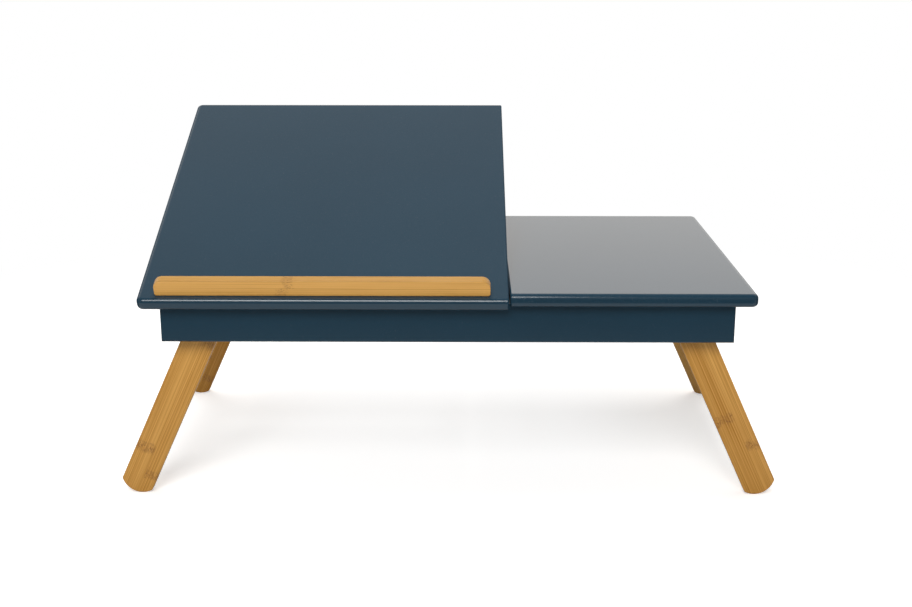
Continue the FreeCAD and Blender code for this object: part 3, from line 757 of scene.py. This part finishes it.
def bolt_head(radius, rise, edge, corner):
    """Rings of a button head: a short edge, a part of a ball, a flat land and a hexagon socket.

    The ball passes through the edge's top and the land's rim. Its middle lies below the edge's top by
    (radius squared - land squared - rise squared) over twice the rise.
    """
    turn = full_turn(BOLT_POINTS)
    flat = np.ones_like(turn)
    land = BOLT_LAND * radius
    drop = (radius ** 2 - land ** 2 - rise ** 2) / (2.0 * rise)
    ball = math.hypot(radius, drop)
    dome = np.outer(np.linspace(radius, land, BOLT_DOME_RINGS), flat)
    dome_height = edge - drop + np.sqrt(ball ** 2 - dome ** 2)
    socket_heights = edge + rise - corner * np.array(SOCKET_DEPTHS)
    radii = np.vstack((radius * flat, dome, np.outer(SOCKET_WIDTHS, hexagon_outline(turn, corner))))
    heights = np.vstack((0.0 * flat, dome_height, np.outer(socket_heights, flat)))
    return rings_about_axis(radii, heights)


def node_points(node):
    """All corner points of a node's mesh."""
    mesh = NODES[node].data
    points = np.empty(len(mesh.vertices) * 3)
    mesh.vertices.foreach_get("co", points)
    return points.reshape(-1, 3)


def apart(points):
    """Splits points into groups that lie more than a gap apart along X or Y."""
    groups = [points]
    for axis in (0, 1):
        parts = []
        for group in groups:
            ordered = group[np.argsort(group[:, axis])]
            breaks = np.flatnonzero(np.diff(ordered[:, axis]) > FASTENER_GAP) + 1
            parts.extend(np.split(ordered, breaks))
        groups = parts
    return groups


def outer_face(points, outward):
    """Middle of the face that lies furthest along a direction."""
    reach = points @ outward
    face = points[reach > reach.max() - FACE_TOLERANCE]
    return (face.min(axis=0) + face.max(axis=0)) / 2.0


def head_radius(points, outward):
    """Largest distance of a fastener's points from its own axis."""
    from_middle = points - outer_face(points, outward)
    beside = from_middle - np.outer(from_middle @ outward, outward)
    return np.linalg.norm(beside, axis=1).max()


def fastener_heads(node, aim):
    """Middles of the outer faces of a node's heads, the ways they face, and their radius."""
    groups = apart(node_points(node))
    outwards = [np.array(aim(group.mean(axis=0))) for group in groups]
    radii = [head_radius(group, outward) for group, outward in zip(groups, outwards)]
    heads = [order for order, radius in enumerate(radii) if radius > HEAD_SHARE * max(radii)]
    middles = [outer_face(groups[order], outwards[order]) for order in heads]
    return middles, [outwards[order] for order in heads], max(radii)


def copies_at(rings, middles, outwards):
    """Copies rings to each middle, with the third axis turned to each outward direction."""
    copies = []
    for middle, outward in zip(middles, outwards):
        spare = UP if abs(outward[2]) < STEEP else RIGHT
        side = np.cross(spare, outward)
        side /= np.linalg.norm(side)
        copies.append(laid(rings, middle, side, np.cross(outward, side), outward))
    return np.array(copies)


# Operators

class PaintBoards(Operator):
    """Paints both tops and the rails under them"""

    bl_idname = "laptop_table.paint_boards"
    bl_label = "Paint the boards"

    def execute(self, context):
        for name in nodes_in_slot("painted_board"):
            dress(name, petrol_paint(context.scene.laptop_table_finish))
        return {"FINISHED"}


class CloseSeam(Operator):
    """Lays a thin painted strip between the rails, under the seam of the two tops"""

    bl_idname = "laptop_table.close_seam"
    bl_label = "Close the seam"

    def execute(self, context):
        sizes = context.scene.laptop_table_shape
        top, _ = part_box("fixed_top")
        _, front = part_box("front_rail")
        back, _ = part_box("back_rail")
        ease = SEAM_EASE * sizes.seam_thick
        outline = round_cornered(sizes.seam_width, back.y - front.y, ease, ease)
        rings = round_edged_slab(outline, sizes.seam_thick, ease)
        height = top.z - sizes.seam_drop - sizes.seam_thick / 2.0
        corner = Vector((top.x - sizes.seam_width / 2.0, front.y, height))
        paint = petrol_paint(context.scene.laptop_table_finish)
        ring_piece("seam_strip", laid(rings, corner, RIGHT, BACK, UP), paint, "fixed_top")
        return {"FINISHED"}


class DrawLegs(Operator):
    """Draws each folding leg in bamboo, with soft edges and fibres along its length"""

    bl_idname = "laptop_table.draw_legs"
    bl_label = "Draw the legs"

    def execute(self, context):
        sizes = context.scene.laptop_table_shape
        settings = context.scene.laptop_table_finish
        # Each leg's tone; the back legs' tones include painted light and shade
        for order, (name, tone) in enumerate(LEG_TONES_AND_PAINTED_LIGHT.items()):
            pivot = PIVOT_OF[name]
            along = Vector((math.copysign(math.sin(sizes.splay), pivot.x), 0.0, -math.cos(sizes.splay)))
            across = Vector((-along.z, 0.0, along.x))
            pattern = LEFT_LEG_PATTERN if pivot.x < 0.0 else RIGHT_LEG_PATTERN
            material = bamboo_finish(
                name + "_bamboo", settings, pivot + across * LEG_GLUE_LINE, along, across,
                tone=tone, seed=float(order), **pattern)
            draw_leg(name, pivot, along, across, sizes, material)
        return {"FINISHED"}


def draw_leg(name, pivot, along, across, sizes, material):
    """A flat bar with a round crown about its pivot and a foot that is part of a larger circle."""
    lo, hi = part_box(name)
    half = hi.z - pivot.z
    corner = sizes.foot_corner
    foot = (pivot.z - lo.z - sizes.foot_round) / math.cos(sizes.splay)
    corner_drop = math.sqrt((sizes.foot_round - corner) ** 2 - (half - corner) ** 2)
    lean = math.degrees(math.asin((half - corner) / (sizes.foot_round - corner)))
    outline = chained_arcs(
        ((0.0, 0.0), half, 0.0, 180.0),
        ((corner - half, -foot - corner_drop), corner, 180.0, 270.0 - lean),
        ((0.0, -foot), sizes.foot_round, 270.0 - lean, 270.0 + lean),
        ((half - corner, -foot - corner_drop), corner, 270.0 + lean, 360.0))
    rings = round_edged_slab(outline, hi.y - lo.y, sizes.edge_round)
    middle = Vector((pivot.x, (lo.y + hi.y) / 2.0, pivot.z))
    up = -along
    stand_in("bamboo_" + name, laid(rings, middle, across, up, across.cross(up)), material, name)


class DrawLedge(Operator):
    """Draws the book ledge in bamboo, with round upper corners, soft edges and fibres along its length"""

    bl_idname = "laptop_table.draw_ledge"
    bl_label = "Draw the ledge"

    def execute(self, context):
        sizes = context.scene.laptop_table_shape
        lo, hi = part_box("ledge")
        back = Vector((0.0, math.cos(sizes.tilt), math.sin(sizes.tilt)))
        up = RIGHT.cross(back)
        corner = Vector((lo.x, hi.y - sizes.ledge_thick * back.y, lo.z))
        glue_line = Vector((0.0, corner.y, corner.z)) + up * LEDGE_GLUE_LINE
        material = bamboo_finish("ledge_bamboo", context.scene.laptop_table_finish, glue_line, RIGHT, up,
                                 painted_top_shade=LEDGE_PAINTED_TOP_SHADE, **LEDGE_PATTERN)
        outline = round_cornered(hi.x - lo.x, sizes.ledge_height, sizes.ledge_foot, sizes.ledge_corner)
        rings = round_edged_slab(outline, sizes.ledge_thick, sizes.ledge_ease)
        middle = corner + back * sizes.ledge_thick / 2.0
        stand_in("bamboo_ledge", laid(rings, middle, RIGHT, up, RIGHT.cross(up)), material, "ledge")
        return {"FINISHED"}


class DrawProp(Operator):
    """Draws the prop's arms with soft edges, and gives its bar, its blocks and the notched rails bamboo"""

    bl_idname = "laptop_table.draw_prop"
    bl_label = "Draw the prop"

    def execute(self, context):
        settings = context.scene.laptop_table_finish
        crosswise = bamboo_finish("cross_bar_bamboo", settings, Vector(), RIGHT, UP, **CROSS_BAR_PATTERN)
        lengthwise = bamboo_finish("notched_rail_bamboo", settings, Vector(), BACK, UP, **RAIL_PATTERN)
        dress("prop_cross_bar", crosswise)
        for name in nodes_in_slot("bamboo"):
            if name.startswith(("prop_block", "notched_")):
                dress(name, lengthwise)
            elif name.startswith("prop_arm"):
                draw_arm(name, context.scene.laptop_table_shape, settings)
        return {"FINISHED"}


def draw_arm(name, sizes, settings):
    """A flat bar with two half-round ends, from the axle down to the cross bar."""
    lo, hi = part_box(name)
    pivot = PIVOT_OF["prop"]
    radius = hi.z - pivot.z
    middle = Vector(((lo.x + hi.x) / 2.0, pivot.y, pivot.z))
    foot = Vector((middle.x, hi.y - radius, lo.z + radius))
    along = (foot - middle).normalized()
    across = RIGHT.cross(along)
    material = bamboo_finish(name + "_bamboo", settings, middle, along, across, **ARM_PATTERN)
    length = (foot - middle).length
    outline = chained_arcs(((length, 0.0), radius, -90.0, 90.0), ((0.0, 0.0), radius, 90.0, 270.0))
    rings = round_edged_slab(outline, hi.x - lo.x, sizes.edge_round)
    stand_in("bamboo_" + name, laid(rings, middle, along, across, along.cross(across)), material, name)


class FinishHardware(Operator):
    """Gives hinges, pins and hidden screws their metal"""

    bl_idname = "laptop_table.finish_hardware"
    bl_label = "Finish the hardware"

    def execute(self, context):
        settings = context.scene.laptop_table_finish
        for name in nodes_in_slot("zinc_steel"):
            dress(name, zinc_plate(settings))
        brass = metal_finish("rolled_brass", settings.brass_colour)
        for name in nodes_in_slot("brass"):
            dress(name, brass)
        return {"FINISHED"}


class DrawScrews(Operator):
    """Draws raised, cross-slotted heads on the screws that can be seen"""

    bl_idname = "laptop_table.draw_screws"
    bl_label = "Draw the screw heads"

    def execute(self, context):
        sizes = context.scene.laptop_table_shape
        zinc = zinc_plate(context.scene.laptop_table_finish)
        lo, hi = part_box("prop_cross_bar")
        prop_middle = (lo.x + hi.x) / 2.0
        aims = {
            "fixed_top_screws": lambda place: (0.0, 0.0, -1.0),
            "prop_block_screws": lambda place: (0.0, math.sin(sizes.tilt), -math.cos(sizes.tilt)),
            "notched_rail_screws": lambda place: (math.copysign(1.0, prop_middle - place[0]), 0.0, 0.0),
        }
        for node, aim in aims.items():
            middles, outwards, radius = fastener_heads(node, aim)
            rings = copies_at(screw_head(radius, sizes.screw_rise), middles, outwards)
            stand_in(node.replace("screws", "screw_heads"), rings, zinc, node)
        return {"FINISHED"}


class DrawBolts(Operator):
    """Draws button heads with hexagon sockets on the four leg bolts"""

    bl_idname = "laptop_table.draw_bolts"
    bl_label = "Draw the bolt heads"

    def execute(self, context):
        sizes = context.scene.laptop_table_shape
        zinc = zinc_plate(context.scene.laptop_table_finish)
        faces, outwards, radius = fastener_heads(
            "leg_bolts", lambda place: (0.0, -math.copysign(1.0, place[1]), 0.0))
        edge = BOLT_EDGE * sizes.bolt_rise
        feet = [face - (sizes.bolt_rise + edge) * outward for face, outward in zip(faces, outwards)]
        head = bolt_head(radius, sizes.bolt_rise, edge, sizes.socket_corner)
        stand_in("leg_bolt_heads", copies_at(head, feet, outwards), zinc, "leg_bolts")
        return {"FINISHED"}


class SetStage(Operator):
    """Sets up the white floor, soft lamps and the camera"""

    bl_idname = "laptop_table.set_stage"
    bl_label = "Set the stage"

    def execute(self, context):
        settings = context.scene.laptop_table_stage
        target = Vector(settings.lamp_target)
        lay_floor(settings)
        light_world(context.scene)
        hang_softbox("front_strip", settings.front_light, settings.front_size, settings.front_place, target)
        overhead = hang_softbox("overhead_softbox", settings.overhead_light, settings.overhead_size,
                                settings.overhead_place, target)
        overhead.visible_glossy = False
        place_camera(context.scene, settings)
        context.scene.view_settings.view_transform = "Standard"
        return {"FINISHED"}


# Stage

PAPER_SEEN = (1.7, 1.69, 1.68, 1.0)  # by the camera, in the share of shade that shows
PAPER_LIT = (0.7, 0.7, 0.69, 1.0)  # for the light it sends back
PAPER_MIRRORED = (0.65, 0.65, 0.65, 1.0)  # in mirrors
FRONT_MIRRORED = (0.06, 0.06, 0.06, 1.0)  # in mirrors, where it lies in front of the table
SWEEP_TINT = (1.0, 0.95, 0.9, 1.0)  # of the world's light on the table


def lay_floor(settings):
    """A square white floor that keeps the table's soft shadow."""
    half = settings.floor_size / 2.0
    mesh = bpy.data.meshes.new("studio_floor")
    corners = [(-half, -half, 0.0), (half, -half, 0.0), (half, half, 0.0), (-half, half, 0.0)]
    mesh.from_pydata(corners, [], [(0, 1, 2, 3)])
    floor = bpy.data.objects.new("studio_floor", mesh)
    bpy.context.collection.objects.link(floor)
    mesh.materials.append(floor_finish(settings))


def floor_finish(settings):
    """White paper: lifted to white for the camera and for mirrors, plain for the light it sends back.

    The camera sees its shade near the table only, twice as much beside the legs as in the middle.
    Mirrors see the floor in front as dark. The paper is clear from below.
    """
    material, tree, shader = new_material("white_paper")
    tree.nodes.remove(shader)
    rays = tree.nodes.new("ShaderNodeLightPath").outputs
    place = coordinates(tree)["Object"]
    sideways, backwards, _ = axes_of(tree, place)
    paper_end = ramp(tree, backwards, start=-0.75, end=-0.4, high=0.7)
    near_table = ramp(tree, vector_node(tree, "LENGTH", place), start=0.4, end=1.0, low=1.0, high=0.0)
    beside_legs = ramp(tree, math_node(tree, "ABSOLUTE", sideways), start=0.1, end=0.26, low=1.0, high=2.0)
    shade_share = product(tree, near_table, beside_legs, settings.shadow_depth)
    mirrored = math_node(tree, "MAXIMUM", rays["Is Glossy Ray"], rays["Is Transmission Ray"])
    seen = math_node(tree, "MAXIMUM", rays["Is Camera Ray"], product(tree, mirrored, paper_end))
    in_mirrors = mix_colour(tree, paper_end, FRONT_MIRRORED, PAPER_MIRRORED)
    sent_back = mix_colour(tree, rays["Is Diffuse Ray"], in_mirrors, PAPER_LIT)
    shaded = tree.nodes.new("ShaderNodeBsdfDiffuse")
    put(tree, shaded.inputs["Color"], mix_colour(tree, rays["Is Camera Ray"], sent_back, PAPER_SEEN))
    white = tree.nodes.new("ShaderNodeEmission").outputs["Emission"]
    lift = product(tree, seen, math_node(tree, "SUBTRACT", 1.0, shade_share))
    paper = mix_shader(tree, lift, shaded.outputs["BSDF"], white)
    below = tree.nodes.new("ShaderNodeNewGeometry").outputs["Backfacing"]
    clear = tree.nodes.new("ShaderNodeBsdfTransparent").outputs["BSDF"]
    put(tree, tree.nodes["Material Output"].inputs["Surface"], mix_shader(tree, below, paper, clear))
    return material


def light_world(scene):
    """White to the camera; to the table a pale sweep behind it, dimmer overhead and in front."""
    world = bpy.data.worlds.new("white_studio")
    scene.world = world
    world.use_nodes = True
    tree = world.node_tree
    _, backwards, upwards = axes_of(tree, coordinates(tree)["Generated"])
    behind = ramp(tree, backwards, start=-0.3, end=0.5, low=0.3, high=1.12)
    overhead = ramp(tree, upwards, start=0.35, end=0.95, low=1.0, high=0.35)
    sweep = mix_colour(tree, 1.0, SWEEP_TINT, product(tree, behind, overhead), mode="MULTIPLY")
    to_camera = tree.nodes.new("ShaderNodeLightPath").outputs["Is Camera Ray"]
    put(tree, tree.nodes["Background"].inputs["Color"], mix_colour(tree, to_camera, sweep, WHITE))


def hang_softbox(name, power, size, place, target):
    """A rectangular lamp that faces a target."""
    lamp = bpy.data.lights.new(name, "AREA")
    lamp.shape = "RECTANGLE"
    lamp.size, lamp.size_y = size
    lamp.energy = power
    softbox = bpy.data.objects.new(name, lamp)
    softbox.location = place
    softbox.rotation_euler = (target - Vector(place)).to_track_quat("-Z", "Y").to_euler()
    softbox.visible_camera = False
    bpy.context.collection.objects.link(softbox)
    return softbox


def place_camera(scene, settings):
    """The camera, level from side to side, at the photograph's viewing angle."""
    data = bpy.data.cameras.new("studio_camera")
    data.sensor_fit = "HORIZONTAL"
    data.sensor_width = settings.sensor
    data.lens = settings.lens
    camera = bpy.data.objects.new("studio_camera", data)
    camera.location = settings.camera_place
    camera.rotation_euler = (math.pi / 2.0 - settings.camera_pitch, 0.0, -settings.camera_yaw)
    bpy.context.collection.objects.link(camera)
    scene.camera = camera


# Panel and registration

OPERATORS = (
    PaintBoards, CloseSeam, DrawLegs, DrawLedge, DrawProp, FinishHardware, DrawScrews, DrawBolts, SetStage)


class TablePanel(Panel):
    """Lists the table's steps and settings"""

    bl_idname = "VIEW3D_PT_laptop_table"
    bl_label = "Laptop Table"
    bl_space_type = "VIEW_3D"
    bl_region_type = "UI"
    bl_category = "Laptop Table"

    def draw(self, context):
        for operator in OPERATORS:
            self.layout.operator(operator.bl_idname)
        scene = context.scene
        for settings in (scene.laptop_table_shape, scene.laptop_table_finish, scene.laptop_table_stage):
            for name in settings.__annotations__:
                self.layout.prop(settings, name)


CLASSES = (ShapeSettings, FinishSettings, StageSettings, *OPERATORS, TablePanel)


def register():
    """Adds the classes and the scene's settings."""
    for cls in CLASSES:
        bpy.utils.register_class(cls)
    bpy.types.Scene.laptop_table_shape = PointerProperty(type=ShapeSettings)
    bpy.types.Scene.laptop_table_finish = PointerProperty(type=FinishSettings)
    bpy.types.Scene.laptop_table_stage = PointerProperty(type=StageSettings)


def unregister():
    """Takes them away again."""
    del bpy.types.Scene.laptop_table_shape
    del bpy.types.Scene.laptop_table_finish
    del bpy.types.Scene.laptop_table_stage
    for cls in reversed(CLASSES):
        bpy.utils.unregister_class(cls)


def main():
    """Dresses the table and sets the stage."""
    register()
    for operator in OPERATORS:
        group, name = operator.bl_idname.split(".")
        getattr(getattr(bpy.ops, group), name)()


if __name__ == "__main__":
    main()
